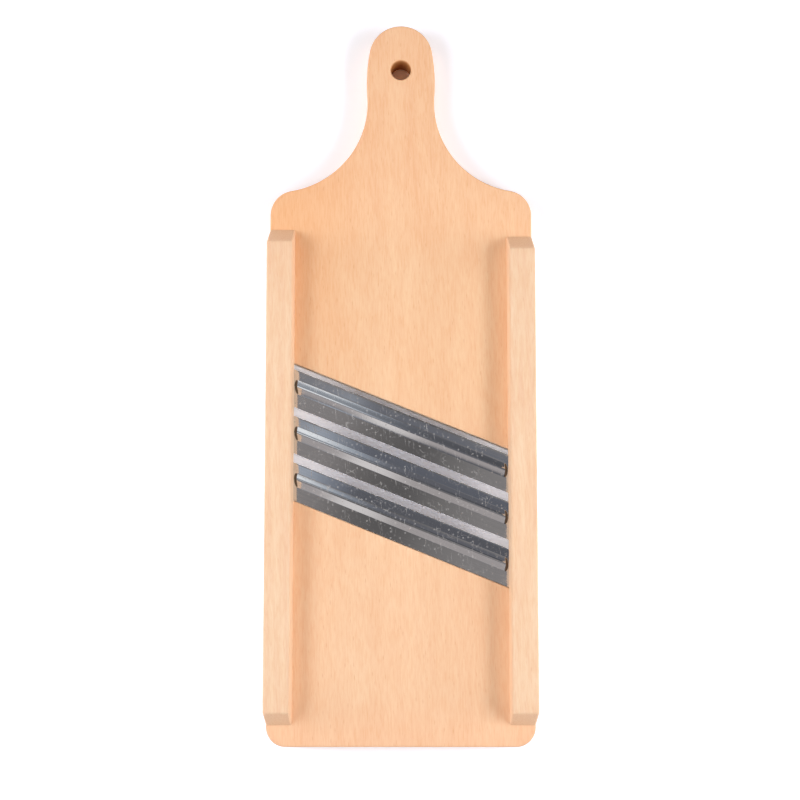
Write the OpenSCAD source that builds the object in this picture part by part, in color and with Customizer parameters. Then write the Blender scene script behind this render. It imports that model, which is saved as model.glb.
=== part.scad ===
// Cabbage cutter: a beech board with a handle, two side rails and three slanting blades.
// The board lies flat. +Z is up, +Y points to the handle and X runs across the board.
// The origin is under the middle of the board, on the surface that it lies on.

/* [Board] */
// Length of the whole cutter, from the handle's end to the foot
board_l = 425; // [390:1:480]
// Width of the board
board_w = 155; // [140:1:180]
// Thickness of the board
board_t = 15; // [12:0.5:20]
// Radius of the two corners at the foot
foot_r = 11.5; // [4:0.5:16]
// Radius of the two rounded shoulders
shoulder_r = 15; // [8:0.5:20]

/* [Handle] */
// Width of the handle at its waist
waist_w = 40; // [32:0.5:48]
// Distance from the handle's end to the waist
waist_from_end = 47.5; // [40:0.5:56]
// How far each side of the grip swells out past the waist
grip_swell = 0.45; // [0.1:0.05:1]
// Radius of the grip's swelling sides
grip_side_r = 110; // [90:1:160]
// Radius of the hollow flare from the waist to the shoulder
flare_r = 54; // [45:0.5:65]
// Diameter of the hanging hole
hole_d = 12; // [6:0.5:16]
// Distance from the handle's end to the middle of the hanging hole
hole_from_end = 27.3; // [20:0.1:34]

/* [Rails] */
// Width of a rail
rail_w = 15; // [12:0.5:18]
// Height of a rail above the board
rail_h = 15; // [12:0.5:22]
// Distance from the shoulder's rounding to the near end of the left rail
left_rail_from_shoulder = 9; // [2:0.5:20]
// Distance from the shoulder's rounding to the near end of the right rail
right_rail_from_shoulder = 13; // [2:0.5:20]
// Distance from the foot to the far end of a rail
rail_from_foot = 12.5; // [5:0.5:25]
// How far the slope at each end of a rail runs
rail_slope_run = 10; // [1:0.5:16]

/* [Blades] */
// Angle of the blades across the board
blade_angle = 21.85; // [15:0.05:28]
// Width of a blade, from its heel to its cutting edge
blade_w = 20.6; // [18:0.1:24]
// Thickness of the blade steel
blade_t = 0.8; // [0.6:0.05:1.2]
// Height of a cutting edge above the board
edge_lift = 2; // [0.8:0.1:3]
// Width of the bevel ground under the cutting edge
edge_grind = 2.5; // [1:0.1:4]
// Thickness left at the cutting edge
edge_t = 0.1; // [0.05:0.05:0.3]
// Gap between the window's upper edge and the first cutting edge
mouth = 3.2; // [1:0.1:4]
// Gap between one blade's heel and the next cutting edge
slit = 4.6; // [2:0.1:6]
// Gap between the last blade's heel and the window's lower edge
heel_gap = 0.8; // [0.25:0.05:1.5]
// How far a blade's end reaches in under a rail
seat_depth = 7; // [4:0.5:9]

/* [Bead] */
// Width of the stiffening bead
bead_w = 5.6; // [3.5:0.1:6.5]
// Height of the bead above the blade
bead_h = 1; // [0.6:0.1:1.3]
// Distance from the blade's middle line to the bead's, towards the edge
bead_offset = 1.5; // [-1:0.1:2]
// Gap between a rail and the bead's rounded end
bead_from_rail = 1.5; // [1:0.5:10]

/* [Screws] */
// Diameter of a screw's shank
screw_d = 3.5; // [2.5:0.1:4]
// Diameter of a screw's head
screw_head_d = 7; // [5.5:0.1:8]
// Depth of a head below the underside
screw_sink = 0.3; // [0.1:0.05:0.8]
// How far a screw reaches into a rail
screw_bite = 9; // [6:0.5:11]
// Length of a screw's point
screw_point = 4; // [2:0.5:5]
// Distance from a rail's end to its end screws
screw_from_end = 20; // [14:0.5:30]
// Width of one arm of the cross recess
recess_w = 0.9; // [0.6:0.05:1.2]
// Span of the cross recess
recess_l = 3.8; // [2.5:0.1:4.5]
// Depth of the cross recess
recess_depth = 1.2; // [0.6:0.1:1.6]

/* [Fit] */
// Clearance around the blades' ends and the screws
fit = 0.1; // [0.05:0.01:0.15]

/* [Hidden] */
$fn = 96;
beech = [0.97, 0.80, 0.61];
pale_beech = [0.97, 0.84, 0.70];
steel = [0.47, 0.49, 0.54];
zinc = [0.76, 0.76, 0.73];
left = -1;
right = 1;
blade_n = 3;
// Turn of one straight stretch along an arc of the outline
arc_turn = 5;
// A cut reaches this far past the face that it opens
past = 1;

tip_y = board_l / 2;
foot_y = -board_l / 2;
half_w = board_w / 2;

// Centres of the outline's arcs on the right side, placed so that neighbouring arcs touch
foot_c = [half_w - foot_r, foot_y + foot_r];
flare_c = [waist_w / 2 + flare_r, tip_y - waist_from_end];
shoulder_x = half_w - shoulder_r;
shoulder_drop = sqrt(pow(flare_r + shoulder_r, 2) - pow(flare_c.x - shoulder_x, 2));
shoulder_c = [shoulder_x, flare_c.y - shoulder_drop];
grip_x = waist_w / 2 + grip_swell - grip_side_r;
grip_rise = sqrt(pow(flare_r + grip_side_r, 2) - pow(flare_c.x - grip_x, 2));
grip_c = [grip_x, flare_c.y + grip_rise];
grip_from_end = tip_y - grip_c.y;
tip_r = (pow(grip_side_r, 2) - pow(grip_x, 2) - pow(grip_from_end, 2)) / (2 * (grip_side_r - grip_from_end));
tip_c = [0, tip_y - tip_r];

// Directions from one centre to the next, where one arc passes into the other
flare_from_shoulder = direction(shoulder_c, flare_c);
flare_from_grip = direction(grip_c, flare_c);
tip_from_grip = direction(grip_c, tip_c);

hole_y = tip_y - hole_from_end;

// Rails stand on the straight sides, and the window is centred on their mean length
rail_far_y = foot_y + rail_from_foot;
rail_x = half_w - rail_w / 2;
rail_gap_half = half_w - rail_w;
window_y = ((rail_near_y(left) + rail_near_y(right)) / 2 + rail_far_y) / 2;
window_w = mouth + blade_n * blade_w + (blade_n - 1) * slit + heel_gap;
window_l = window_w / cos(blade_angle);

// A blade leans so that its heel is level with the board and its edge stands clear
blade_tilt = asin(edge_lift / blade_w);
blade_z = board_t + edge_lift / 2 - blade_t / 2 * cos(blade_tilt);
blade_span = rail_gap_half + seat_depth;
blade_run = 2 * (blade_span / cos(blade_angle) + blade_w);

// The bead is a stamped arc whose axis lies below the blade's upper face
bead_r = (pow(bead_w / 2, 2) + pow(bead_h, 2)) / (2 * bead_h);
bead_z = blade_t / 2 + bead_h - bead_r;
bead_l = 2 * (rail_gap_half - bead_from_rail) / cos(blade_angle) - bead_w;

screw_tip_z = board_t + screw_bite;
screw_neck_z = screw_sink + (screw_head_d - screw_d) / 2;

// Angle at which one point is seen from another
function direction(from, to) = atan2(to.y - from.y, to.x - from.x);

// Points along an arc, without its first point where it carries on from another arc
function arc(centre, r, from, to, first = 1) =
    let (n = ceil(abs(to - from) / arc_turn))
    [for (k = [first:n]) let (a = from + (to - from) * k / n) centre + r * [cos(a), sin(a)]];

// Near end of a rail
function rail_near_y(side) =
    shoulder_c.y - (side == left ? left_rail_from_shoulder : right_rail_from_shoulder);

// Where the middle line of blade i crosses the middle of the board
function blade_y(i) =
    window_y + (window_w / 2 - mouth - blade_w / 2 - i * (blade_w + slit)) / cos(blade_angle);

// Two end screws, and one halfway along the longer stretch beside the blade seats
function screw_places(side) =
    let (near = rail_near_y(side) - screw_from_end,
         far = rail_far_y + screw_from_end,
         seats_end = window_y - side * rail_x * tan(blade_angle) + side * window_l / 2,
         open_end = side == right ? near : far)
    [near, (seats_end + open_end) / 2, far];

module window() {
    drop = rail_gap_half * tan(blade_angle);
    polygon([[-rail_gap_half, window_y + drop + window_l / 2],
             [rail_gap_half, window_y - drop + window_l / 2],
             [rail_gap_half, window_y - drop - window_l / 2],
             [-rail_gap_half, window_y + drop - window_l / 2]]);
}

// The right side from the foot up to the handle's end, and the same points back down the left side
module board_outline() {
    side = concat(arc(foot_c, foot_r, -90, 0, first = 0),
                  arc(shoulder_c, shoulder_r, 0, flare_from_shoulder, first = 0),
                  arc(flare_c, flare_r, flare_from_shoulder + 180, flare_from_grip + 180),
                  arc(grip_c, grip_side_r, flare_from_grip, tip_from_grip),
                  arc(tip_c, tip_r, tip_from_grip, 90));
    polygon(concat(side, [for (k = [len(side) - 2:-1:0]) [-side[k].x, side[k].y]]));
}

// Puts its children on blade i: X along the blade, Y towards the cutting edge
module at_blade(i) {
    translate([0, blade_y(i), blade_z]) rotate([0, 0, -blade_angle]) rotate([blade_tilt, 0, 0]) children();
}

// Slots under one rail for the ends of the blades
module seats(side) {
    slot_l = seat_depth + fit + past;
    intersection() {
        translate([side * (blade_span + fit - slot_l / 2), window_y, board_t])
            cube([slot_l, board_l, board_t + rail_h], center = true);
        for (i = [0:blade_n - 1]) at_blade(i)
            cube([blade_run, blade_w + 2 * fit, blade_t + 2 * fit], center = true);
    }
}

// One rail's screw holes
module screw_holes(side) {
    for (y = screw_places(side)) translate([side * rail_x, y, 0]) rotate_extrude()
        polygon([[0, -past], [screw_head_d / 2 + fit, -past], [screw_head_d / 2 + fit, screw_sink],
                 [screw_d / 2 + fit, screw_neck_z], [screw_d / 2 + fit, screw_tip_z - screw_point],
                 [0, screw_tip_z + fit]]);
}

module board() {
    color(beech) difference() {
        linear_extrude(board_t) difference() {
            board_outline();
            window();
        }
        translate([0, hole_y, -past]) cylinder(d = hole_d, h = board_t + 2 * past);
        for (side = [left, right]) {
            seats(side);
            screw_holes(side);
        }
    }
}

module rail(side) {
    color(pale_beech) difference() {
        translate([side * rail_x - rail_w / 2, 0, board_t]) rotate([90, 0, 90]) linear_extrude(rail_w)
            polygon([[rail_far_y, 0], [rail_near_y(side), 0], [rail_near_y(side) - rail_slope_run, rail_h],
                     [rail_far_y + rail_slope_run, rail_h]]);
        seats(side);
        screw_holes(side);
    }
}

// A rod with ball ends along the bead
module bead_rod(r) {
    translate([0, bead_offset, bead_z]) {
        rotate([0, 90, 0]) cylinder(r = r, h = bead_l, center = true);
        for (end = [-1, 1]) translate([end * bead_l / 2, 0, 0]) sphere(r);
    }
}

// A strip with its edge ground from below and a bead pressed up along it
module blade(i) {
    color(steel) intersection() {
        at_blade(i) difference() {
            union() {
                translate([-blade_run / 2, 0, 0]) rotate([90, 0, 90]) linear_extrude(blade_run)
                    polygon([[-blade_w / 2, -blade_t / 2], [blade_w / 2 - edge_grind, -blade_t / 2],
                             [blade_w / 2, blade_t / 2 - edge_t], [blade_w / 2, blade_t / 2],
                             [-blade_w / 2, blade_t / 2]]);
                intersection() {
                    bead_rod(bead_r);
                    translate([0, bead_offset, bead_h])
                        cube([blade_run, 2 * bead_w, 2 * bead_h], center = true);
                }
            }
            bead_rod(bead_r - blade_t);
        }
        translate([0, window_y, board_t]) cube([2 * blade_span, board_l, board_t + rail_h], center = true);
    }
}

module first_blade() { blade(0); }

module second_blade() { blade(1); }

module third_blade() { blade(2); }

module left_rail() { rail(left); }

module right_rail() { rail(right); }

// Countersunk wood screws, point up, with a cross recess in each head
module rail_screws(side) {
    color(zinc) for (y = screw_places(side)) translate([side * rail_x, y, 0]) difference() {
        rotate_extrude()
            polygon([[0, screw_sink], [screw_head_d / 2, screw_sink], [screw_d / 2, screw_neck_z],
                     [screw_d / 2, screw_tip_z - screw_point], [0, screw_tip_z]]);
        for (turn = [0, 90]) translate([0, 0, screw_sink]) rotate([0, 0, turn])
            cube([recess_l, recess_w, 2 * recess_depth], center = true);
    }
}

module left_rail_screws() { rail_screws(left); }

module right_rail_screws() { rail_screws(right); }

board();
left_rail();
right_rail();
first_blade();
second_blade();
third_blade();
left_rail_screws();
right_rail_screws();
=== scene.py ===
"""Cabbage cutter: a beech board with a handle, two side rails and three slanting steel blades."""
import math
import random

import bmesh
import bpy
from mathutils import Matrix, Vector


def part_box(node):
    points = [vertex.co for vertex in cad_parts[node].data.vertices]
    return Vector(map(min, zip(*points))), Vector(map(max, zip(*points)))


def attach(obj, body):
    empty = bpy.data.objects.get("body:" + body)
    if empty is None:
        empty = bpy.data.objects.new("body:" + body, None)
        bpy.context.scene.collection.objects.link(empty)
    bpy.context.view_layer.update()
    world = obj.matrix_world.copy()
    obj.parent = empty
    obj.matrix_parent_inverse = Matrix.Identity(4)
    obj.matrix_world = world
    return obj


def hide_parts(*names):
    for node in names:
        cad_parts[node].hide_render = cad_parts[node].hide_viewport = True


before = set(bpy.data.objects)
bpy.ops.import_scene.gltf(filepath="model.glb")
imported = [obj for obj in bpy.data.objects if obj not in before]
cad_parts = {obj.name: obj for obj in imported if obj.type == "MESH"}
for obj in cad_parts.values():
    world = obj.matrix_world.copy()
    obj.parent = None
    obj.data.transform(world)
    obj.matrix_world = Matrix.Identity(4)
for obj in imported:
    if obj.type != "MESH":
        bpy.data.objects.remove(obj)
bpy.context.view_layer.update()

# Sizes below are in millimetres and angles in degrees, and a mesh is scaled to metres when it is done
MM = 0.001
tolerance = 0.001


def box_mm(node):
    """Lowest and highest corner of a CAD node."""
    low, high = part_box(node)
    return low / MM, high / MM


def middle_y(node):
    """How far up the board the middle of a CAD node lies."""
    low, high = box_mm(node)
    return (low.y + high.y) / 2


# What the frame gives
blade_nodes = ("first_blade", "second_blade", "third_blade")
screw_nodes = ("left_rail_screws", "right_rail_screws")
board_low, board_high = box_mm("board")
board_top = board_high.z
foot_y = board_low.y
tip_y = board_high.y
half_w = board_high.x
rail_gap_half = -box_mm("left_rail")[1].x

# Board outline
foot_r = 11.5
shoulder_r = 15
waist_w = 40
waist_from_end = 47.5
grip_swell = 0.45
grip_side_r = 110
flare_r = 54
outline_turn = 2.5

# Hanging hole, with small tears in its rim: direction and half width in degrees, and depth of each
hole_r = 6
hole_from_end = 27.3
hole_y = tip_y - hole_from_end
hole_points = 96
hole_tears = [(-98, 5, 0.35), (-83, 4, 0.5), (-12, 6, 0.4), (-142, 4, 0.25)]

# Rounding that sanding leaves on the arrises
board_arris = 1.3
window_arris = 0.6
hole_arris = 0.8
rail_arris = 1.1
rail_foot_arris = 0.2
arris_steps = 4

# Rails
rail_slope_run = 10

# Blades: the turn is their angle in radians, and the reach is the level distance from the middle to an edge
blade_angle = 21.85
blade_w = 20.6
blade_t = 0.8
edge_lift = 2
edge_t = 0.1
edge_grind = 2.5
edge_land = 0.5
edge_land_drop = 0.05
rear_lean = 2.5
seat_fit = 0.1
blade_turn = math.radians(blade_angle)
blade_reach = math.sqrt(blade_w ** 2 - edge_lift ** 2) / 2
grind_from = blade_reach - edge_grind
land_from = blade_reach - edge_land

# Nicks in each cutting edge: their number, and the least and most half width and depth
nick_count = 26
nick_half_width = (0.5, 1.2)
nick_depth = (0.08, 0.3)

# Window: it reaches further past the first cutting edge than past the last heel,
# and a little way under the rails
mouth = 3.2
slit = 4.6
heel_gap = 0.3
window_under_rail = 1.8
blade_count = len(blade_nodes)
window_w = mouth + blade_count * blade_w + (blade_count - 1) * slit + heel_gap
window_half = rail_gap_half + window_under_rail
window_shift = (mouth - heel_gap) / 2 / math.cos(blade_turn)
window_y = (middle_y("first_blade") + middle_y("third_blade")) / 2 + window_shift

# Bead along each blade: distance in front of its crest and slope at each knot of its section,
# from rear to front. The front foot follows from the rest, where the section is back down at the strip
bead_crest = 1.6
bead_knots = [
    (-4.3, 0), (-4.1, 0.2), (-0.6, 0.26), (-0.35, -0.02), (-0.02, -0.05), (0.02, -0.174),
    (0.35, -0.203), (0.5, -0.4), (0.85, -0.4), (1, -0.235), (3.4, -0.2)]
bead_end = 1.2
bead_end_round = 1.2
bead_from_rail = 0.5

# Steps of a strip's mesh: along it, closest near the rails, and across it, from knot to knot of the bead
fine_from_rail = 12
column_steps = [4, 36, 90, 36, 4]
row_steps = [6, 6, 7, 4, 2, 1, 2, 3, 2, 3, 10, 4, 4, 4, 2]

# Screws from below
screw_fit = 0.1
screw_d = 3.5
screw_head_d = 7
screw_sink = 0.3
screw_point = 4
screw_tip_r = 0.05
screw_sides = 32

# How far a cutter reaches out of the wood that it cuts
cut_past = 1

# Faces that meet at less than this are shaded as one
wood_smooth = 35
steel_smooth = 30

# Finishes of the board and of a blade by number, in the order of their materials
planed = 0
drilled = 1
sawn = 2
rolled = 0
ground = 1
worn = 2

# Lamps: name, direction, width, height and power of each
lamp_aim = Vector((0, -30, 0))
lamp_distance = 800
softboxes = [
    ("left_softbox", (-0.65, -0.1, 0.75), 600, 300, 2.45),
    ("right_softbox", (0.71, -0.1, 0.69), 600, 200, 2.62),
    ("low_left_softbox", (-0.88, 0.2, 0.42), 500, 300, 1.1),
    ("low_right_softbox", (0.88, -0.2, 0.42), 500, 300, 1.1),
    ("grazing_left_softbox", (-0.97, 0, 0.24), 500, 120, 1.7),
    ("grazing_right_softbox", (0.97, 0, 0.24), 500, 120, 1.7),
    ("handle_softbox", (0, 0.88, 0.47), 500, 300, 0.5),
    ("foot_softbox", (-0.2, -0.86, 0.47), 500, 300, 0.3),
]
fill_level = 0.31

# Camera
camera_place = Vector((-0.5, -53.7, 604.5))
camera_lean = 3.94
camera_lens = 45.4
camera_sensor = 36

# Sockets of a colour mix by number, because several of them share a name
mix_share = 0
mix_from = 6
mix_to = 7
mixed = 2


def linear(hex_colour):
    """An sRGB hex colour as the linear RGBA that a shader socket takes."""
    channels = [int(hex_colour[i:i + 2], 16) / 255 for i in (1, 3, 5)]
    return [c / 12.92 if c <= 0.04045 else ((c + 0.055) / 1.055) ** 2.4 for c in channels] + [1]


def add(tree, kind, settings, inputs, stops=()):
    """Adds a node.

    Each input is a value, or the socket that feeds it. A colour ramp also has stops, each a
    position and a hex colour.
    """
    made = tree.nodes.new("ShaderNode" + kind)
    for name, value in settings.items():
        setattr(made, name, value)
    for name, value in inputs.items():
        if isinstance(value, bpy.types.NodeSocket):
            tree.links.new(value, made.inputs[name])
        else:
            made.inputs[name].default_value = value
    if stops:
        elements = made.color_ramp.elements
        while len(elements) < len(stops):
            elements.new(1)
        for element, (position, hex_colour) in zip(elements, stops):
            element.position = position
            element.color = linear(hex_colour)
    return made


def new_material(name):
    """A material with its node tree and its shader."""
    material = bpy.data.materials.new(name)
    material.use_nodes = True
    return material, material.node_tree, material.node_tree.nodes["Principled BSDF"]


def stage_material(name):
    """A material with an empty node tree, for what isn't part of the cutter."""
    material = bpy.data.materials.new(name)
    material.use_nodes = True
    material.node_tree.nodes.clear()
    return material, material.node_tree


def beech(name, tones, foot_tone, painted_shade_tone, end_tone_with_light, fleck_tone, figure_width):
    """Planed and sanded beech, untreated.

    The eye sees soft bands along the board, fine streaks within them, short brown ray flecks,
    and on faces across the grain a tone of their own with pores. Where that tone is paler than the
    rest, as on the rails, it is painted light.
    """
    material, tree, shader = new_material(name)
    coords = add(tree, "TexCoord", {}, {})
    place = coords.outputs["Object"]
    along = add(tree, "SeparateXYZ", {}, {"Vector": place})
    grain_turn = (0, 0, math.radians(1.5))

    # Soft bands of the growth rings
    figure_length = 50
    figure_place = add(tree, "Mapping", {"vector_type": "TEXTURE"}, {
        "Vector": place, "Rotation": grain_turn,
        "Scale": (figure_width * MM, figure_length * MM, figure_width * MM)})
    figure = add(tree, "TexNoise", {}, {
        "Vector": figure_place.outputs[0], "Scale": 1, "Detail": 3, "Roughness": 0.6, "Distortion": 0.5})
    bands = add(tree, "ValToRGB", {}, {"Fac": figure.outputs["Fac"]}, [
        (0.34, tones[0]), (0.5, tones[1]), (0.66, tones[2])])

    # The wood pales towards the foot
    pale_y = (0, -150)
    foot_share = add(tree, "MapRange", {}, {
        "Value": along.outputs["Y"], "From Min": pale_y[0] * MM, "From Max": pale_y[1] * MM,
        "To Min": 0, "To Max": 0.25})
    paled = add(tree, "Mix", {"data_type": "RGBA"}, {
        mix_share: foot_share.outputs[0], mix_from: bands.outputs["Color"], mix_to: linear(foot_tone)})

    # It is darker and warmer at the upper left: painted shade, where less light reaches the board
    shade_x = (-15, -65)
    shade_y = (-20, 90)
    shade_side = add(tree, "MapRange", {}, {
        "Value": along.outputs["X"], "From Min": shade_x[0] * MM, "From Max": shade_x[1] * MM,
        "To Min": 0, "To Max": 0.75})
    painted_shade_share = add(tree, "MapRange", {}, {
        "Value": along.outputs["Y"], "From Min": shade_y[0] * MM, "From Max": shade_y[1] * MM,
        "To Min": 0, "To Max": shade_side.outputs[0]})
    upper_left_shaded = add(tree, "Mix", {"data_type": "RGBA"}, {
        mix_share: painted_shade_share.outputs[0], mix_from: paled.outputs[mixed], mix_to: linear(painted_shade_tone)})

    # Both ends are painted a little darker: painted shade where the light falls off towards them
    tip_shade_y = (60, 125)
    foot_shade_y = (-182, -208)
    tip_shade = add(tree, "MapRange", {}, {
        "Value": along.outputs["Y"], "From Min": tip_shade_y[0] * MM, "From Max": tip_shade_y[1] * MM,
        "To Min": 0, "To Max": 1})
    foot_shade = add(tree, "MapRange", {}, {
        "Value": along.outputs["Y"], "From Min": foot_shade_y[0] * MM, "From Max": foot_shade_y[1] * MM,
        "To Min": 0, "To Max": 1})
    end_shade_share = add(tree, "Math", {"operation": "MAXIMUM"}, {
        0: tip_shade.outputs[0], 1: foot_shade.outputs[0]})
    ends_shaded = add(tree, "Mix", {"data_type": "RGBA", "blend_type": "MULTIPLY"}, {
        mix_share: end_shade_share.outputs[0], mix_from: upper_left_shaded.outputs[mixed], mix_to: linear("#FDF7F5")})

    # Fine streaks within the bands
    streak_width = 0.8
    streak_length = 8
    streak_place = add(tree, "Mapping", {"vector_type": "TEXTURE"}, {
        "Vector": place, "Rotation": grain_turn,
        "Scale": (streak_width * MM, streak_length * MM, streak_width * MM)})
    streak = add(tree, "TexNoise", {}, {
        "Vector": streak_place.outputs[0], "Scale": 1, "Detail": 3, "Roughness": 0.6, "Distortion": 0.4})
    streak_shade = add(tree, "ValToRGB", {}, {"Fac": streak.outputs["Fac"]}, [
        (0.3, "#FAF0E6"), (0.6, "#FFFFFF")])
    streaked = add(tree, "Mix", {"data_type": "RGBA", "blend_type": "MULTIPLY"}, {
        mix_share: 1, mix_from: ends_shaded.outputs[mixed], mix_to: streak_shade.outputs["Color"]})

    # Ray flecks in most cells of a stretched pattern, many of them faint
    fleck_width = 1.3
    fleck_length = 8
    fleck_place = add(tree, "Mapping", {"vector_type": "TEXTURE"}, {
        "Vector": place, "Rotation": grain_turn,
        "Scale": (fleck_width * MM, fleck_length * MM, fleck_width * MM)})
    fleck_cells = add(tree, "TexVoronoi", {}, {"Vector": fleck_place.outputs[0], "Scale": 1})
    fleck_core = add(tree, "MapRange", {}, {
        "Value": fleck_cells.outputs["Distance"], "From Min": 0.1, "From Max": 0.22,
        "To Min": 1, "To Max": 0})
    fleck_pick = add(tree, "SeparateColor", {}, {"Color": fleck_cells.outputs["Color"]})
    fleck_share = add(tree, "MapRange", {}, {
        "Value": fleck_pick.outputs["Red"], "From Min": 0.3, "From Max": 1, "To Min": 0, "To Max": 0.5})
    fleck = add(tree, "Math", {"operation": "MULTIPLY"}, {
        0: fleck_core.outputs[0], 1: fleck_share.outputs[0]})
    flecked = add(tree, "Mix", {"data_type": "RGBA"}, {
        mix_share: fleck.outputs[0], mix_from: streaked.outputs[mixed], mix_to: linear(fleck_tone)})

    # End grain, with pores drawn coarser than real ones so that they show
    pore_size = 0.7
    pore_place = add(tree, "Mapping", {"vector_type": "TEXTURE"}, {
        "Vector": place, "Scale": (pore_size * MM, pore_size * MM, pore_size * MM)})
    pores = add(tree, "TexNoise", {}, {
        "Vector": pore_place.outputs[0], "Scale": 1, "Detail": 2, "Roughness": 0.7})
    pore_shade = add(tree, "ValToRGB", {}, {"Fac": pores.outputs["Fac"]}, [
        (0.35, "#F3E7DC"), (0.6, "#FFFFFF")])
    # On the rails this tone is paler than their side grain: painted light on their sloping ends
    end_grain_with_light = add(tree, "Mix", {"data_type": "RGBA", "blend_type": "MULTIPLY"}, {
        mix_share: 1, mix_from: linear(end_tone_with_light), mix_to: pore_shade.outputs["Color"]})
    facing = add(tree, "SeparateXYZ", {}, {"Vector": coords.outputs["Normal"]})
    across_grain = add(tree, "Math", {"operation": "ABSOLUTE"}, {0: facing.outputs["Y"]})
    end_share = add(tree, "MapRange", {}, {
        "Value": across_grain.outputs[0], "From Min": 0.35, "From Max": 0.85, "To Min": 0, "To Max": 0.8})
    toned = add(tree, "Mix", {"data_type": "RGBA"}, {
        mix_share: end_share.outputs[0], mix_from: flecked.outputs[mixed], mix_to: end_grain_with_light.outputs[mixed]})

    # Fibres that the plane raises
    fibre_width = 0.5
    fibre_length = 16
    fibre_place = add(tree, "Mapping", {"vector_type": "TEXTURE"}, {
        "Vector": place, "Scale": (fibre_width * MM, fibre_length * MM, fibre_width * MM)})
    fibres = add(tree, "TexNoise", {}, {"Vector": fibre_place.outputs[0], "Scale": 1, "Detail": 2})
    relief = add(tree, "Bump", {}, {
        "Strength": 0.25, "Distance": 0.08 * MM, "Height": fibres.outputs["Fac"]})
    gloss = add(tree, "MapRange", {}, {
        "Value": streak.outputs["Fac"], "From Min": 0.3, "From Max": 0.7, "To Min": 0.5, "To Max": 0.62})

    tree.links.new(toned.outputs[mixed], shader.inputs["Base Color"])
    tree.links.new(gloss.outputs[0], shader.inputs["Roughness"])
    tree.links.new(relief.outputs["Normal"], shader.inputs["Normal"])
    shader.inputs["IOR"].default_value = 1.45
    shader.inputs["Specular IOR Level"].default_value = 0.3
    return material


def drilled_beech():
    """Beech in the drilled hole: brown that soon darkens below the rim."""
    material, tree, shader = new_material("drilled_beech")
    place = add(tree, "TexCoord", {}, {}).outputs["Object"]
    depth = add(tree, "SeparateXYZ", {}, {"Vector": place})
    darkening_depth = 5
    below_rim_darkening = add(tree, "MapRange", {}, {
        "Value": depth.outputs["Z"], "From Min": (board_top - darkening_depth) * MM, "From Max": board_top * MM,
        "To Min": 1, "To Max": 0})
    tone = add(tree, "ValToRGB", {}, {"Fac": below_rim_darkening.outputs[0]}, [
        (0, "#EFC29C"), (0.2, "#DCA878"), (0.8, "#C08450")])
    tree.links.new(tone.outputs["Color"], shader.inputs["Base Color"])
    shader.inputs["Roughness"].default_value = 0.6
    shader.inputs["Specular IOR Level"].default_value = 0.2
    return material


def sawn_beech():
    """Beech sawn across the grain and left so, with upright saw marks. It is paler than the planed faces,
    partly as painted light on the window's shaded walls.
    """
    material, tree, shader = new_material("sawn_beech")
    place = add(tree, "TexCoord", {}, {}).outputs["Object"]
    mark_width = 0.8
    mark_length = 12
    mark_place = add(tree, "Mapping", {"vector_type": "TEXTURE"}, {
        "Vector": place, "Scale": (mark_width * MM, mark_width * MM, mark_length * MM)})
    marks = add(tree, "TexNoise", {}, {"Vector": mark_place.outputs[0], "Scale": 1, "Detail": 2})
    # Paler tones than the planed faces: partly painted light on these shaded walls
    tone = add(tree, "ValToRGB", {}, {"Fac": marks.outputs["Fac"]}, [(0.35, "#F1DAC4"), (0.65, "#FBEDDF")])
    relief = add(tree, "Bump", {}, {"Strength": 0.3, "Distance": 0.1 * MM, "Height": marks.outputs["Fac"]})
    tree.links.new(tone.outputs["Color"], shader.inputs["Base Color"])
    tree.links.new(relief.outputs["Normal"], shader.inputs["Normal"])
    shader.inputs["Roughness"].default_value = 0.8
    shader.inputs["Specular IOR Level"].default_value = 0.2
    return material


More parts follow.
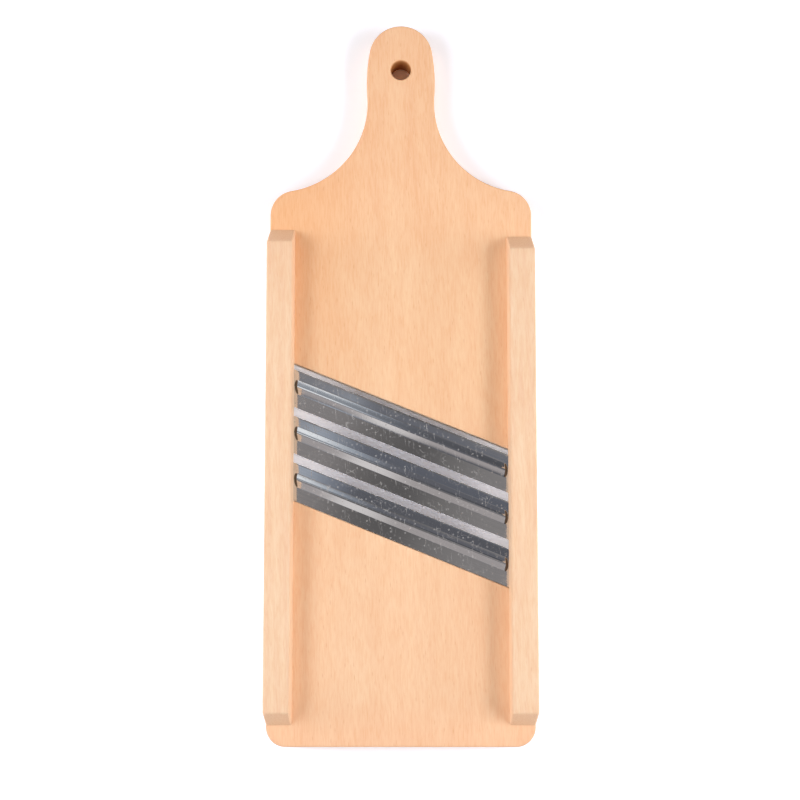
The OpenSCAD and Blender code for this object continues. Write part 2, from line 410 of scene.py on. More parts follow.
def rolled_steel(name, wear_share):
    """Cold-rolled steel strip, used.

    The eye sees a dark mirror with faint lines along the strip, short scratches in the direction
    that food is pushed, bright specks and a few curled scratches. How clear these marks are is its
    share of wear. The ends of the bead are painted dark brown, as painted shade in place of the dark
    reflection there.
    """
    material, tree, shader = new_material(name)
    coords = add(tree, "TexCoord", {}, {})
    place = coords.outputs["Object"]
    strip_turn = (0, 0, -blade_turn)

    # Lines of the rolls, drawn coarser than real ones so that they show
    line_width = 0.4
    line_length = 60
    line_place = add(tree, "Mapping", {"vector_type": "TEXTURE"}, {
        "Vector": place, "Rotation": strip_turn,
        "Scale": (line_length * MM, line_width * MM, line_width * MM)})
    lines = add(tree, "TexNoise", {}, {"Vector": line_place.outputs[0], "Scale": 1, "Detail": 2})

    # Slow waves of the strip
    wave_width = 14
    wave_length = 28
    wave_place = add(tree, "Mapping", {"vector_type": "TEXTURE"}, {
        "Vector": place, "Rotation": strip_turn,
        "Scale": (wave_length * MM, wave_width * MM, wave_width * MM)})
    waves = add(tree, "TexNoise", {}, {"Vector": wave_place.outputs[0], "Scale": 1, "Detail": 1})

    # Scratches along the board
    scratch_width = 0.45
    scratch_length = 7
    scratch_place = add(tree, "Mapping", {"vector_type": "TEXTURE"}, {
        "Vector": place, "Rotation": (0, 0, math.radians(6)),
        "Scale": (scratch_width * MM, scratch_length * MM, scratch_length * MM)})
    scratches = add(tree, "TexNoise", {}, {
        "Vector": scratch_place.outputs[0], "Scale": 1, "Detail": 1, "Distortion": 0.6})
    scratch = add(tree, "MapRange", {}, {
        "Value": scratches.outputs["Fac"], "From Min": 0.67, "From Max": 0.75,
        "To Min": 0, "To Max": wear_share})

    # Specks
    speck_gap = 2.8
    speck_place = add(tree, "Mapping", {"vector_type": "TEXTURE"}, {
        "Vector": place, "Scale": (speck_gap * MM, speck_gap * MM, speck_gap * MM)})
    speck_cells = add(tree, "TexVoronoi", {"voronoi_dimensions": "2D"}, {
        "Vector": speck_place.outputs[0], "Scale": 1})
    speck_core = add(tree, "MapRange", {}, {
        "Value": speck_cells.outputs["Distance"], "From Min": 0.09, "From Max": 0.24,
        "To Min": wear_share, "To Max": 0})
    speck_pick = add(tree, "SeparateColor", {}, {"Color": speck_cells.outputs["Color"]})
    speck_share = add(tree, "MapRange", {}, {
        "Value": speck_pick.outputs["Red"], "From Min": 0.6, "From Max": 0.9, "To Min": 0, "To Max": 1})
    speck = add(tree, "Math", {"operation": "MULTIPLY"}, {
        0: speck_core.outputs[0], 1: speck_share.outputs[0]})

    # Curled scratches in a few patches, drawn coarser than real ones so that they show
    curl_size = 7
    curl_place = add(tree, "Mapping", {"vector_type": "TEXTURE"}, {
        "Vector": place, "Scale": (curl_size * MM, curl_size * MM, curl_size * MM)})
    curls = add(tree, "TexNoise", {"noise_dimensions": "2D"}, {
        "Vector": curl_place.outputs[0], "Scale": 1, "Detail": 0, "Distortion": 1.2})
    off_curl = add(tree, "Math", {"operation": "SUBTRACT"}, {0: curls.outputs["Fac"], 1: 0.5})
    curl_gap = add(tree, "Math", {"operation": "ABSOLUTE"}, {0: off_curl.outputs[0]})
    curl_line = add(tree, "MapRange", {}, {
        "Value": curl_gap.outputs[0], "From Min": 0.008, "From Max": 0.022,
        "To Min": 0.8 * wear_share, "To Max": 0})
    patch_size = 9
    patch_start = (100, 100, 0)
    patch_place = add(tree, "Mapping", {"vector_type": "TEXTURE"}, {
        "Vector": place, "Location": [distance * MM for distance in patch_start],
        "Scale": (patch_size * MM, patch_size * MM, patch_size * MM)})
    patches = add(tree, "TexNoise", {"noise_dimensions": "2D"}, {
        "Vector": patch_place.outputs[0], "Scale": 1, "Detail": 0})
    patch_share = add(tree, "MapRange", {}, {
        "Value": patches.outputs["Fac"], "From Min": 0.56, "From Max": 0.64, "To Min": 0, "To Max": 1})
    curl = add(tree, "Math", {"operation": "MULTIPLY"}, {
        0: curl_line.outputs[0], 1: patch_share.outputs[0]})
    marked = add(tree, "Math", {"operation": "MAXIMUM"}, {0: scratch.outputs[0], 1: speck.outputs[0]})
    wear = add(tree, "Math", {"operation": "MAXIMUM"}, {0: marked.outputs[0], 1: curl.outputs[0]})

    # Bright tone, brighter in the marks
    tone = add(tree, "ValToRGB", {}, {"Fac": lines.outputs["Fac"]}, [(0.35, "#DBDEE1"), (0.65, "#E2E4E7")])
    worn_tone = add(tree, "Mix", {"data_type": "RGBA"}, {
        mix_share: wear.outputs[0], mix_from: tone.outputs["Color"], mix_to: linear("#F4F5F7")})

    # The bead's ends, which lean along the strip, are painted dark brown: painted shade in place of their
    # dark reflection
    strip_way = Vector((math.cos(blade_turn), -math.sin(blade_turn), 0))
    lean_along = add(tree, "VectorMath", {"operation": "DOT_PRODUCT"}, {
        0: coords.outputs["Normal"], 1: strip_way})
    end_lean = add(tree, "Math", {"operation": "ABSOLUTE"}, {0: lean_along.outputs["Value"]})
    painted_end_shade = add(tree, "MapRange", {}, {
        "Value": end_lean.outputs[0], "From Min": 0.015, "From Max": 0.07, "To Min": 0, "To Max": 0.92})
    shaded_end_tone = add(tree, "Mix", {"data_type": "RGBA"}, {
        mix_share: painted_end_shade.outputs[0], mix_from: worn_tone.outputs[mixed], mix_to: linear("#4C443E")})

    # The marks are rough, and scatter light more than they mirror it
    gloss = add(tree, "MapRange", {}, {
        "Value": wear.outputs[0], "From Min": 0, "From Max": 1, "To Min": 0.085, "To Max": 0.5})
    bare = add(tree, "MapRange", {}, {
        "Value": wear.outputs[0], "From Min": 0, "From Max": 1, "To Min": 1, "To Max": 0.2})
    wave_relief = add(tree, "Bump", {}, {
        "Strength": 0.3, "Distance": 0.05 * MM, "Height": waves.outputs["Fac"]})
    line_relief = add(tree, "Bump", {}, {
        "Strength": 0.1, "Distance": 0.004 * MM, "Height": lines.outputs["Fac"],
        "Normal": wave_relief.outputs["Normal"]})

    tree.links.new(shaded_end_tone.outputs[mixed], shader.inputs["Base Color"])
    tree.links.new(bare.outputs[0], shader.inputs["Metallic"])
    tree.links.new(gloss.outputs[0], shader.inputs["Roughness"])
    tree.links.new(line_relief.outputs["Normal"], shader.inputs["Normal"])
    return material


def ground_steel():
    """Steel ground across its edge on a stone: a bright satin band whose fine marks scatter the light."""
    material, tree, shader = new_material("ground_steel")
    place = add(tree, "TexCoord", {}, {}).outputs["Object"]
    mark_width = 0.6
    mark_length = 5
    mark_place = add(tree, "Mapping", {"vector_type": "TEXTURE"}, {
        "Vector": place, "Rotation": (0, 0, -blade_turn),
        "Scale": (mark_width * MM, mark_length * MM, mark_length * MM)})
    marks = add(tree, "TexNoise", {}, {"Vector": mark_place.outputs[0], "Scale": 1, "Detail": 2})
    tone = add(tree, "ValToRGB", {}, {"Fac": marks.outputs["Fac"]}, [(0.35, "#C8CBCF"), (0.65, "#F4F5F7")])
    gloss = add(tree, "MapRange", {}, {
        "Value": marks.outputs["Fac"], "From Min": 0.3, "From Max": 0.7, "To Min": 0.32, "To Max": 0.5})
    relief = add(tree, "Bump", {}, {
        "Strength": 0.3, "Distance": 0.02 * MM, "Height": marks.outputs["Fac"]})
    tree.links.new(tone.outputs["Color"], shader.inputs["Base Color"])
    tree.links.new(gloss.outputs[0], shader.inputs["Roughness"])
    tree.links.new(relief.outputs["Normal"], shader.inputs["Normal"])
    shader.inputs["Metallic"].default_value = 0.2
    return material


def zinc_plate():
    """Bright zinc plate on steel screws: pale grey with faint cool and warm clouds."""
    material, tree, shader = new_material("zinc_plate")
    place = add(tree, "TexCoord", {}, {}).outputs["Object"]
    cloud_size = 2.5
    cloud_place = add(tree, "Mapping", {"vector_type": "TEXTURE"}, {
        "Vector": place, "Scale": (cloud_size * MM, cloud_size * MM, cloud_size * MM)})
    clouds = add(tree, "TexNoise", {}, {"Vector": cloud_place.outputs[0], "Scale": 1, "Detail": 3})
    tone = add(tree, "ValToRGB", {}, {"Fac": clouds.outputs["Fac"]}, [(0.35, "#C6CBD2"), (0.65, "#DAD8CC")])
    gloss = add(tree, "MapRange", {}, {
        "Value": clouds.outputs["Fac"], "From Min": 0.3, "From Max": 0.7, "To Min": 0.25, "To Max": 0.4})
    tree.links.new(tone.outputs["Color"], shader.inputs["Base Color"])
    tree.links.new(gloss.outputs[0], shader.inputs["Roughness"])
    shader.inputs["Metallic"].default_value = 1
    return material


def to_object(mesh_in_mm, name):
    """A new object in the scene from a mesh that is built in millimetres."""
    bmesh.ops.recalc_face_normals(mesh_in_mm, faces=mesh_in_mm.faces)
    bmesh.ops.transform(mesh_in_mm, matrix=Matrix.Scale(MM, 4), verts=mesh_in_mm.verts)
    mesh = bpy.data.meshes.new(name)
    mesh_in_mm.to_mesh(mesh)
    mesh_in_mm.free()
    made = bpy.data.objects.new(name, mesh)
    bpy.context.scene.collection.objects.link(made)
    return made


def cut(piece, cutter):
    """Cuts one mesh out of a piece and removes the cutter."""
    modifier = piece.modifiers.new("cut", "BOOLEAN")
    modifier.operation = "DIFFERENCE"
    modifier.solver = "EXACT"
    modifier.object = cutter
    graph = bpy.context.evaluated_depsgraph_get()
    cut_mesh = bpy.data.meshes.new_from_object(piece.evaluated_get(graph))
    piece.modifiers.clear()
    piece.data = cut_mesh
    bpy.data.objects.remove(cutter)


def dress(piece, node, materials, smooth_to):
    """Gives a piece its shading and materials, and sets it in its node's place."""
    piece.data.materials.clear()
    for material in materials:
        piece.data.materials.append(material)
    piece.data.shade_smooth()
    piece.data.set_sharp_from_angle(angle=math.radians(smooth_to))
    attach(piece, "root")
    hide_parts(node)


def keep_flats_flat(piece):
    """Lets the large faces set the shading where they pass into a rounded arris."""
    modifier = piece.modifiers.new("flats_stay_flat", "WEIGHTED_NORMAL")
    modifier.keep_sharp = True


def join_rings(bm, rings):
    """Adds the faces from each ring of points to the next."""
    for first, second in zip(rings, rings[1:]):
        for k in range(len(first)):
            bm.faces.new((first[k - 1], first[k], second[k], second[k - 1]))


def close_prism(bm, rings):
    """Adds a closed solid with flat ends from the places of its rings of points."""
    made = [[bm.verts.new(point) for point in ring] for ring in rings]
    join_rings(bm, made)
    bm.faces.new(made[0])
    bm.faces.new(made[-1])


def inset(loop, distance):
    """A closed outline moved to its left, with its corners mitred."""
    moved = []
    for k, point in enumerate(loop):
        back = (point - loop[k - 1]).normalized()
        on = (loop[(k + 1) % len(loop)] - point).normalized()
        left = Vector((-back.y - on.y, back.x + on.x)).normalized()
        moved.append(point + left * distance / left.dot(Vector((-on.y, on.x))))
    return moved


def spaced(stops, steps):
    """Points from each stop to the next, with a number of steps for each stretch."""
    points = [stops[0]]
    for start, end, count in zip(stops, stops[1:], steps):
        points += [start + (end - start) * k / count for k in range(1, count + 1)]
    return points


def direction(start, end):
    """Angle at which one point is seen from another."""
    return math.degrees(math.atan2(end.y - start.y, end.x - start.x))


def arc(centre, radius, start, end, first=1):
    """Points along an arc, without its first point where it carries on from another arc."""
    count = math.ceil(abs(end - start) / outline_turn)
    angles = [math.radians(start + (end - start) * k / count) for k in range(first, count + 1)]
    return [centre + radius * Vector((math.cos(a), math.sin(a))) for a in angles]


def board_outline():
    """The board's outline, with the wood to the left of the way round it."""
    foot_c = Vector((half_w - foot_r, foot_y + foot_r))
    flare_c = Vector((waist_w / 2 + flare_r, tip_y - waist_from_end))
    shoulder_x = half_w - shoulder_r
    shoulder_drop = math.sqrt((flare_r + shoulder_r) ** 2 - (flare_c.x - shoulder_x) ** 2)
    shoulder_c = Vector((shoulder_x, flare_c.y - shoulder_drop))
    grip_x = waist_w / 2 + grip_swell - grip_side_r
    grip_rise = math.sqrt((flare_r + grip_side_r) ** 2 - (flare_c.x - grip_x) ** 2)
    grip_c = Vector((grip_x, flare_c.y + grip_rise))
    grip_from_end = tip_y - grip_c.y
    tip_r = (grip_side_r ** 2 - grip_x ** 2 - grip_from_end ** 2) / (2 * (grip_side_r - grip_from_end))
    tip_c = Vector((0, tip_y - tip_r))

    from_shoulder = direction(shoulder_c, flare_c)
    from_grip = direction(grip_c, flare_c)
    to_tip = direction(grip_c, tip_c)
    side = arc(foot_c, foot_r, -90, 0, first=0)
    side += arc(shoulder_c, shoulder_r, 0, from_shoulder, first=0)
    side += arc(flare_c, flare_r, from_shoulder + 180, from_grip + 180)
    side += arc(grip_c, grip_side_r, from_grip, to_tip)
    side += arc(tip_c, tip_r, to_tip, 90)
    return side + [Vector((-p.x, p.y)) for p in reversed(side[:-1])]


def window_outline():
    """The window under the blades, with the wood to the left of the way round it."""
    fall = window_half * math.tan(blade_turn)
    rise = window_w / 2 / math.cos(blade_turn)
    return [
        Vector((-window_half, window_y + rise + fall)), Vector((window_half, window_y + rise - fall)),
        Vector((window_half, window_y - rise - fall)), Vector((-window_half, window_y - rise + fall))]


def hole_outline():
    """The hanging hole, with the wood to the left of the way round it."""
    turns = [-2 * math.pi * k / hole_points for k in range(hole_points)]
    return [Vector((0, hole_y)) + hole_r * Vector((math.cos(a), math.sin(a))) for a in turns]


def tear(k):
    """How much further the hole's rim is torn back at its point k."""
    angle = -360 * k / hole_points
    depth = 0
    for middle, half_width, most in hole_tears:
        away = abs((angle - middle + 180) % 360 - 180)
        depth = max(depth, most * (1 - away / half_width))
    return depth


def arris_profile(radius, height):
    """Inset and height of each ring of a wall whose two arrises are rounded."""
    turns = [math.pi / 2 * k / arris_steps for k in range(arris_steps + 1)]
    lower = [(radius * (1 - math.sin(a)), radius * (1 - math.cos(a))) for a in turns]
    return lower + [(d, height - z) for d, z in reversed(lower)]


def wall(bm, loop, radius, torn=None):
    """Adds the wall along an outline, and returns the edges of its lowest and highest ring."""
    profile = arris_profile(radius, board_top)
    half = len(profile) // 2
    rings = []
    for level, (distance, z) in enumerate(profile):
        points = inset(loop, distance)
        if torn and level > half:
            torn_1_mm = inset(loop, distance + 1)
            share = (level - half) / half
            points = [p.lerp(w, torn(k) * share) for k, (p, w) in enumerate(zip(points, torn_1_mm))]
        rings.append([bm.verts.new((p.x, p.y, z)) for p in points])
    join_rings(bm, rings)
    rims = (rings[0], rings[-1])
    return [[bm.edges.get((rim[k - 1], rim[k])) for k in range(len(loop))] for rim in rims]


def strip_y(middle, x, across):
    """How far up the board a point of a blade lies, from the blade's middle and its place across it."""
    return middle - x * math.tan(blade_turn) + across / math.cos(blade_turn)


def strip_z(across):
    """Height of a blade's upper face: its rear lies nearly level, and it bends up in front of the bead."""
    rear_slope = math.tan(math.radians(rear_lean))
    if across <= bead_crest:
        return board_top + (across + blade_reach) * rear_slope
    bend_rise = (bead_crest + blade_reach) * rear_slope
    front_share = (across - bead_crest) / (blade_reach - bead_crest)
    return board_top + bend_rise + front_share * (edge_lift - bend_rise)


def bead_rise(start, end):
    """How much the bead rises from one knot of its section to the next."""
    return (end[0] - start[0]) * (start[1] + end[1]) / 2


def close_bead():
    """The bead's knots with the last one added, at its front foot."""
    height = sum(bead_rise(start, end) for start, end in zip(bead_knots, bead_knots[1:]))
    place, slope = bead_knots[-1]
    return bead_knots + [(place - 2 * height / slope, 0)]


def bead_z(x, across, knots):
    """Height of the bead above the strip. It runs out near each rail, in a rounded end."""
    sideways = across - bead_crest
    bead_half = max(-knots[0][0], knots[-1][0])
    rounding = bead_end_round * (sideways / bead_half) ** 2
    reach = rail_gap_half - bead_from_rail - rounding
    run_out = min(1, max(0, (reach - abs(x)) / bead_end))
    height = 0
    for start, end in zip(knots, knots[1:]):
        share = min(1, max(0, (sideways - start[0]) / (end[0] - start[0])))
        here = (start[0] + (end[0] - start[0]) * share, start[1] + (end[1] - start[1]) * share)
        height += bead_rise(start, here)
    return height * run_out ** 2 * (3 - 2 * run_out)


def edge_nicks(seed):
    """Places, half widths and depths of small nicks along a cutting edge."""
    draw = random.Random(seed)
    ranges = ((-rail_gap_half, rail_gap_half), nick_half_width, nick_depth)
    return [[draw.uniform(least, most) for least, most in ranges] for _ in range(nick_count)]


def nick_bite(x, nicks):
    """How far the nicks cut an edge back at a place along it."""
    return max(max(0, 1 - abs(x - at) / half_width) * depth for at, half_width, depth in nicks)


def strip_points(bm, node, nicks):
    """Adds the points of a blade's two faces. Returns where the rows lie across it, and their points."""
    knots = close_bead()
    middle = middle_y(node)
    span = box_mm(node)[1].x
    fine_to = rail_gap_half - fine_from_rail
    columns = spaced([-span, -rail_gap_half, -fine_to, fine_to, rail_gap_half, span], column_steps)
    knot_places = [bead_crest + place for place, slope in knots]
    rows = spaced([-blade_reach] + knot_places + [grind_from, land_from, blade_reach], row_steps)
    upper = []
    lower = []
    for across in rows:
        on_land = max(0, across - land_from) / edge_land
        on_grind = max(0, across - grind_from) / edge_grind
        thickness = blade_t - on_grind * (blade_t - edge_t)
        upper_row = []
        lower_row = []
        for x in columns:
            y = strip_y(middle, x, across - on_land * nick_bite(x, nicks))
            z = strip_z(across) + bead_z(x, across, knots)
            upper_row.append(bm.verts.new((x, y, z - on_land * edge_land_drop)))
            lower_row.append(bm.verts.new((x, y, z - thickness)))
        upper.append(upper_row)
        lower.append(lower_row)
    return rows, upper, lower


def add_face(bm, finish, *corners):
    """Adds a face in one of the piece's finishes."""
    bm.faces.new(corners).material_index = finish


def part_finishes(mesh):
    """Makes the shading break where a ground face meets a face in another finish."""
    met = {}
    for face in mesh.polygons:
        for key in face.edge_keys:
            met.setdefault(key, set()).add(face.material_index)
    for edge in mesh.edges:
        if ground in met[edge.key] and len(met[edge.key]) > 1:
            edge.use_edge_sharp = True


def screw_axes(node):
    """Where a node's screws stand, and how high they reach, from the points of their tips."""
    top = box_mm(node)[1].z
    tip_margin = 0.01
    tips = [v.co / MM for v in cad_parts[node].data.vertices if v.co.z / MM > top - tip_margin]
    return sorted({(round(p.x, 3), round(p.y, 3)) for p in tips}), top


def add_seats(bm):
    """Adds a solid for each blade end, a little larger than the strip without its bead."""
    upper = [Vector((across, strip_z(across))) for across in (blade_reach, bead_crest, -blade_reach)]
    lower = [p - Vector((0, blade_t)) for p in reversed(upper)]
    section = inset(upper + lower, -seat_fit)
    for node in blade_nodes:
        middle = middle_y(node)
        span = box_mm(node)[1].x + seat_fit
        for side in (-1, 1):
            ends = (side * (rail_gap_half - cut_past), side * span)
            close_prism(bm, [[(x, strip_y(middle, x, p.x), p.y) for p in section] for x in ends])


def add_screw_holes(bm):
    """Adds a solid for each screw, a little larger than the screw."""
    head_r = screw_head_d / 2 + screw_fit
    shank_r = screw_d / 2 + screw_fit
    neck_z = screw_sink + (screw_head_d - screw_d) / 2
    turns = [2 * math.pi * k / screw_sides for k in range(screw_sides)]
    circle = [(math.cos(a), math.sin(a)) for a in turns]
    for node in screw_nodes:
        axes, top = screw_axes(node)
        profile = [
            (head_r, -cut_past), (head_r, screw_sink), (shank_r, neck_z), (shank_r, top - screw_point),
            (screw_tip_r, top + screw_fit)]
        for x, y in axes:
            close_prism(bm, [[(x + r * c, y + r * s, z) for c, s in circle] for r, z in profile])


def seat_and_screw_cutter(name):
    """One mesh of all the seats for the blades' ends and all the screw holes."""
    bm = bmesh.new()
    add_seats(bm)
    add_screw_holes(bm)
    return to_object(bm, name)


def board_finish(place, facing):
    """Finish of one of the board's faces: the hole is drilled, the window is sawn and the rest is planed."""
    # A face belongs to a wall where its normal rises or falls less than this
    hole_face_rise = 0.9
    window_face_rise = 0.5
    across = (place.y - window_y) * math.cos(blade_turn) + place.x * math.sin(blade_turn)
    in_hole = math.hypot(place.x, place.y - hole_y) < hole_r + hole_arris
    in_window = abs(place.x) < window_half + window_arris and abs(across) < window_w / 2 + window_arris
    if in_hole and abs(facing.z) < hole_face_rise:
        return drilled
    if in_window and abs(facing.z) < window_face_rise:
        return sawn
    return planed


def board(materials):
    """The board with its hanging hole, its window, and the seats and screw holes on both sides of it."""
    bm = bmesh.new()
    walls = [
        wall(bm, board_outline(), board_arris),
        wall(bm, window_outline(), window_arris),
        wall(bm, hole_outline(), hole_arris, tear)]
    for level in (0, 1):
        rim = [edge for edges in walls for edge in edges[level]]
        bmesh.ops.triangle_fill(bm, use_beauty=True, edges=rim)
    piece = to_object(bm, "beech_board")
    cut(piece, seat_and_screw_cutter("board_cutter"))
    dress(piece, "board", materials, wood_smooth)
    for face in piece.data.polygons:
        face.material_index = board_finish(face.center / MM, face.normal)
    keep_flats_flat(piece)


def rail(side, material):
    """A rail with sloping ends. Its arrises are rounded, those at its foot only a little."""
    node = side + "_rail"
    low, high = box_mm(node)
    section = [
        (low.y, low.z), (high.y, low.z), (high.y - rail_slope_run, high.z), (low.y + rail_slope_run, high.z)]
    bm = bmesh.new()
    close_prism(bm, [[(x, y, z) for y, z in section] for x in (low.x, high.x)])
    least_turn = math.radians(30)
    for at_foot, radius in ((False, rail_arris), (True, rail_foot_arris)):
        edges = [e for e in bm.edges if all(v.co.z < low.z + tolerance for v in e.verts) == at_foot]
        if at_foot:
            edges = [e for e in edges if e.calc_face_angle() > least_turn]
        bmesh.ops.bevel(bm, geom=edges, offset=radius, offset_type="OFFSET", segments=arris_steps,
                        profile=0.5, affect="EDGES")
    piece = to_object(bm, side + "_beech_rail")
    cut(piece, seat_and_screw_cutter(side + "_rail_cutter"))
    dress(piece, node, [material], wood_smooth)
    keep_flats_flat(piece)


def blade(number, node, materials):
    """A steel strip with its bead, ground thin from below along its nicked cutting edge."""
    bm = bmesh.new()
    rows, upper, lower = strip_points(bm, node, edge_nicks(number))
    last_row = len(rows) - 1
    last_column = len(upper[0]) - 1
    for j in range(last_row):
        above = ground if rows[j] > land_from - tolerance else worn if rows[j] > bead_crest else rolled
        below = ground if rows[j] > grind_from - tolerance else rolled
        for k in range(last_column):
            add_face(bm, above, upper[j][k], upper[j][k + 1], upper[j + 1][k + 1], upper[j + 1][k])
            add_face(bm, below, lower[j][k], lower[j + 1][k], lower[j + 1][k + 1], lower[j][k + 1])
        add_face(bm, rolled, upper[j][0], upper[j + 1][0], lower[j + 1][0], lower[j][0])
        add_face(bm, rolled, upper[j][-1], lower[j][-1], lower[j + 1][-1], upper[j + 1][-1])
    for k in range(last_column):
        add_face(bm, rolled, upper[0][k], lower[0][k], lower[0][k + 1], upper[0][k + 1])
        add_face(bm, ground, upper[-1][k], upper[-1][k + 1], lower[-1][k + 1], lower[-1][k])
    piece = to_object(bm, node + "_strip")
    dress(piece, node, materials, steel_smooth)
    part_finishes(piece.data)


def screws(node, material):
    """One rail's screws, which keep their CAD shape."""
    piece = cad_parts[node]
    piece.data.materials.clear()
    piece.data.materials.append(material)


def build_cutter():
    """All the pieces of the cutter, with their materials."""
    # The darker tone given for the upper left of each wood is painted shade
    board_beech = beech(
        "planed_beech_board", ("#F4CAA5", "#F6CFAB", "#F8D4B1"), foot_tone="#F8D7BE", painted_shade_tone="#F2BF91",
        end_tone_with_light="#EFC19B", fleck_tone="#DDA172", figure_width=10)
    # The rails' end tone is paler than their planed tones: painted light on their sloping ends
    rail_beech = beech(
        "planed_beech_rails", ("#EDCAAE", "#EFD0B3", "#F1D6BB"), foot_tone="#F2D6BA", painted_shade_tone="#F0CFB1",
        end_tone_with_light="#FED9BA", fleck_tone="#E0AE88", figure_width=5)
    steel = [rolled_steel("rolled_steel", 0.3), ground_steel(), rolled_steel("worn_rolled_steel", 1)]
    zinc = zinc_plate()
    board([board_beech, drilled_beech(), sawn_beech()])
    rail("left", rail_beech)
    rail("right", rail_beech)
    for number, node in enumerate(blade_nodes):
        blade(number, node, steel)
    for node in screw_nodes:
        screws(node, zinc)


def seen_share(tree):
    """Adds what is 1 for a ray that shows a surface, and 0 for one that only carries its light."""
    path = add(tree, "LightPath", {}, {})
    seen = add(tree, "Math", {"operation": "ADD"}, {
        0: path.outputs["Is Camera Ray"], 1: path.outputs["Is Glossy Ray"]})
    seen_all = add(tree, "Math", {"operation": "ADD", "use_clamp": True}, {
        0: seen.outputs[0], 1: path.outputs["Is Transmission Ray"]})
    return seen_all.outputs[0]


def floor():
    """A bright white table.

    Where it is seen it shows brighter than it lights, and far out it is plain white. Under the
    window it glows a little towards the rails, and under the hanging hole it is tinted like the
    wood, as painted light bounced from the hole's walls.
    """
    table_half = 2000
    bm = bmesh.new()
    bmesh.ops.create_grid(bm, x_segments=1, y_segments=1, size=table_half)
    piece = to_object(bm, "white_table")
    material, tree = stage_material("white_table")
    seen = seen_share(tree)
    place = add(tree, "TexCoord", {}, {}).outputs["Object"]
    here = add(tree, "SeparateXYZ", {}, {"Vector": place})

    # Where the window and the hanging hole show it
    window_margin = 5
    sideways = add(tree, "Math", {"operation": "ABSOLUTE"}, {0: here.outputs["X"]})
    from_window = add(tree, "Math", {"operation": "SUBTRACT"}, {0: here.outputs["Y"], 1: window_y * MM})
    lengthways = add(tree, "Math", {"operation": "ABSOLUTE"}, {0: from_window.outputs[0]})
    in_width = add(tree, "Math", {"operation": "LESS_THAN"}, {
        0: sideways.outputs[0], 1: (rail_gap_half + window_margin) * MM})
    in_length = add(tree, "Math", {"operation": "LESS_THAN"}, {0: lengthways.outputs[0], 1: window_w * MM})
    under_window = add(tree, "Math", {"operation": "MULTIPLY"}, {
        0: in_width.outputs[0], 1: in_length.outputs[0]})
    from_hole = add(tree, "VectorMath", {"operation": "DISTANCE"}, {
        0: place, 1: Vector((0, hole_y, 0)) * MM})
    under_hole = add(tree, "Math", {"operation": "LESS_THAN"}, {
        0: from_hole.outputs["Value"], 1: 2 * hole_r * MM})

    # Tones where it is seen. They pass 1, so that it shows white in the plain light of the lamps
    open_tone = (1.12, 1.2, 1.36, 1)
    window_tone = (1.13, 1.16, 1.26, 1)
    # Under the hanging hole the table is tinted like the wood: painted light bounced from the hole's walls
    hole_bounce_tone = (1.3, 1.14, 1.07, 1)
    lighting_tone = (0.85, 0.85, 0.85, 1)
    with_window = add(tree, "Mix", {"data_type": "RGBA", "clamp_result": False}, {
        mix_share: under_window.outputs[0], mix_from: open_tone, mix_to: window_tone})
    with_hole_bounce = add(tree, "Mix", {"data_type": "RGBA", "clamp_result": False}, {
        mix_share: under_hole.outputs[0], mix_from: with_window.outputs[mixed], mix_to: hole_bounce_tone})
    tone = add(tree, "Mix", {"data_type": "RGBA", "clamp_result": False}, {
        mix_share: seen, mix_from: lighting_tone, mix_to: with_hole_bounce.outputs[mixed]})
    lit = add(tree, "BsdfDiffuse", {}, {"Color": tone.outputs[mixed]})

    # Glow towards the rails
    glow_from = 24
    glow_to = 55
    glow_place = add(tree, "Math", {"operation": "MULTIPLY"}, {0: under_window.outputs[0], 1: seen})
    glow_level = add(tree, "MapRange", {"interpolation_type": "SMOOTHSTEP"}, {
        "Value": sideways.outputs[0], "From Min": glow_from * MM, "From Max": glow_to * MM,
        "To Min": 0, "To Max": 0.31})
    glow_strength = add(tree, "Math", {"operation": "MULTIPLY"}, {
        0: glow_place.outputs[0], 1: glow_level.outputs[0]})
    glow = add(tree, "Emission", {}, {"Color": linear("#F4F3F8"), "Strength": glow_strength.outputs[0]})
    near = add(tree, "AddShader", {}, {0: lit.outputs[0], 1: glow.outputs[0]})

    # Plain white far out
    white_from = 350
    white_to = 800
    far = add(tree, "Emission", {}, {"Color": linear("#FFFFFF"), "Strength": seen})
    away = add(tree, "VectorMath", {"operation": "LENGTH"}, {0: place})
    far_share = add(tree, "MapRange", {}, {
        "Value": away.outputs["Value"], "From Min": white_from * MM, "From Max": white_to * MM,
        "To Min": 0, "To Max": 1})
    both = add(tree, "MixShader", {}, {0: far_share.outputs[0], 1: near.outputs[0], 2: far.outputs[0]})
    add(tree, "OutputMaterial", {}, {"Surface": both.outputs[0]})
    piece.data.materials.append(material)


def card(name, along, across, height, axis, stops):
    """A card over the board that only reflections show, turned with the blades.

    It reaches over a stretch along the blades and one across them. Its tone changes along its X or
    Y axis, from stop to stop.
    """
    bm = bmesh.new()
    corners = [(along[0], across[0]), (along[1], across[0]), (along[1], across[1]), (along[0], across[1])]
    bm.faces.new([bm.verts.new((x, y, height)) for x, y in corners])
    piece = to_object(bm, name)
    piece.rotation_euler.z = -blade_turn
    material, tree = stage_material(name)
    place = add(tree, "TexCoord", {}, {}).outputs["Object"]
    here = add(tree, "SeparateXYZ", {}, {"Vector": place})
    low, high = along if axis == "X" else across
    share = add(tree, "MapRange", {}, {
        "Value": here.outputs[axis], "From Min": low * MM, "From Max": high * MM})
    tone = add(tree, "ValToRGB", {}, {"Fac": share.outputs[0]}, [
        ((at - low) / (high - low), hex_colour) for at, hex_colour in stops])
    glow = add(tree, "Emission", {}, {"Color": tone.outputs["Color"], "Strength": 1})
    add(tree, "OutputMaterial", {}, {"Surface": glow.outputs[0]})
    piece.data.materials.append(material)
    piece.visible_camera = False
    piece.visible_diffuse = False
    piece.visible_shadow = False


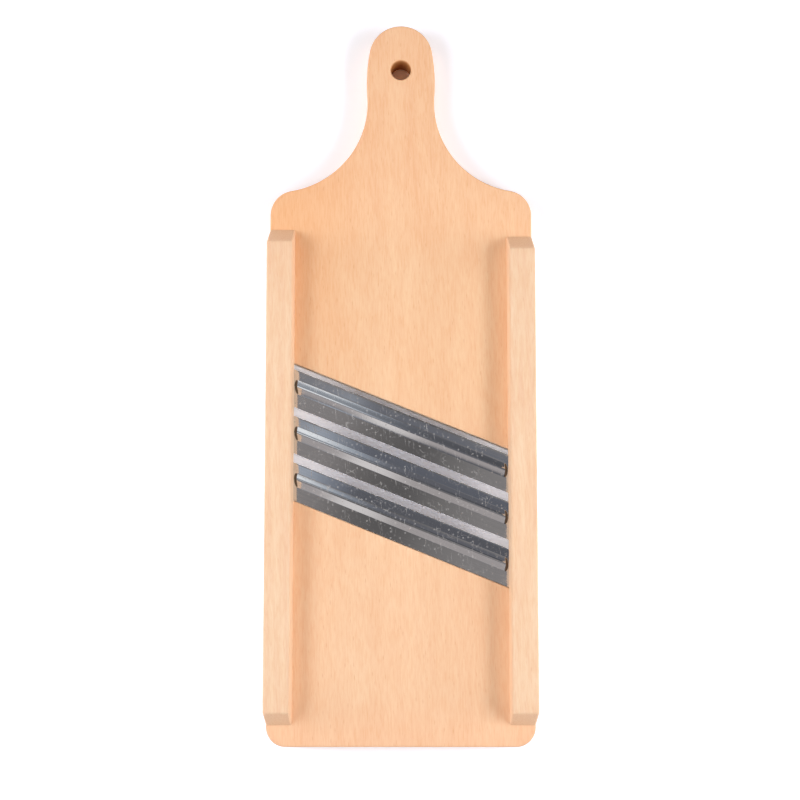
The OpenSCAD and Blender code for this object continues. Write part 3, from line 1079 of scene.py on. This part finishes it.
def reflected_room():
    """What the steel mirrors: a dim ceiling, darker in its middle, paler at its left and over the foot."""
    ceiling_z = 1250
    middle_z = 1245
    patch_z = 1240
    card("dim_ceiling", (-2000, 2000), (-2600, 2600), ceiling_z, "Y", [
        (-700, "#B0A8A6"), (-640, "#5E5E63"), (-560, "#5E5E63"), (-400, "#6E717B"), (-345, "#928C8A"),
        (-65, "#928C8A"), (-25, "#68686E")])
    card("dim_middle", (-260, 260), (-375, -45), middle_z, "X", [
        (-200, "#928C8A"), (-110, "#8E8886"), (-40, "#6E6A68"), (40, "#605D5C"), (110, "#7C7876"),
        (190, "#8E8987")])
    card("pale_left", (-300, 30), (-40, 125), patch_z, "X", [
        (-140, "#FFFFFF"), (-108, "#D0D4DA"), (-62, "#A0A6B0"), (0, "#6B6B72")])
    card("handle_wall", (-600, 600), (110, 1600), patch_z, "X", [
        (-185, "#9EA2A8"), (-108, "#94989E"), (-62, "#7E8086"), (-7, "#6A6C72"), (47, "#5E5E62"),
        (181, "#56565A")])
    card("foot_window", (-110, 50), (-1600, -640), patch_z, "X", [
        (-110, "#B0A8A6"), (-62, "#ECE5E2"), (-10, "#E4DDDA"), (50, "#B0A8A6")])
    card("left_haze", (-300, -55), (-640, -455), patch_z, "X", [
        (-230, "#8A898B"), (-185, "#A0A2A8"), (-160, "#B2B8C2"), (-140, "#B0B6C0"), (-108, "#90959F"),
        (-60, "#6E707A")])
    card("first_left_haze", (-300, -70), (-455, -375), patch_z, "X", [
        (-230, "#848385"), (-144, "#8E9098"), (-108, "#A2A7AF"), (-72, "#6E707A")])


def softbox(name, towards, width, height, power):
    """A soft lamp that faces the aim from one direction. Reflections don't show it."""
    lamp = bpy.data.lights.new(name, "AREA")
    lamp.shape = "RECTANGLE"
    lamp.size = width * MM
    lamp.size_y = height * MM
    lamp.energy = power
    piece = bpy.data.objects.new(name, lamp)
    piece.visible_glossy = False
    away = Vector(towards).normalized()
    piece.location = (lamp_aim + lamp_distance * away) * MM
    piece.rotation_mode = "QUATERNION"
    piece.rotation_quaternion = away.to_track_quat("Z", "Y")
    bpy.context.scene.collection.objects.link(piece)


def surroundings():
    """White where they are seen, and a weak warm fill for what they light."""
    world = bpy.data.worlds.new("studio")
    bpy.context.scene.world = world
    world.use_nodes = True
    tree = world.node_tree
    shader = tree.nodes["Background"]
    seen = seen_share(tree)
    strength = add(tree, "MapRange", {}, {"Value": seen, "To Min": fill_level, "To Max": 1})
    tone = add(tree, "Mix", {"data_type": "RGBA"}, {
        mix_share: seen, mix_from: linear("#FFE8D0"), mix_to: linear("#FFFFFF")})
    tree.links.new(tone.outputs[mixed], shader.inputs["Color"])
    tree.links.new(strength.outputs[0], shader.inputs["Strength"])


def camera():
    """The photograph's view: from above the blades, leaning a little towards the handle."""
    lens = bpy.data.cameras.new("camera")
    lens.lens = camera_lens
    lens.sensor_width = camera_sensor
    piece = bpy.data.objects.new("camera", lens)
    piece.location = camera_place * MM
    piece.rotation_euler = (math.radians(camera_lean), 0, 0)
    bpy.context.scene.collection.objects.link(piece)
    bpy.context.scene.camera = piece


build_cutter()
floor()
reflected_room()
for lamp_values in softboxes:
    softbox(*lamp_values)
surroundings()
camera()
bpy.context.scene.view_settings.view_transform = "Standard"
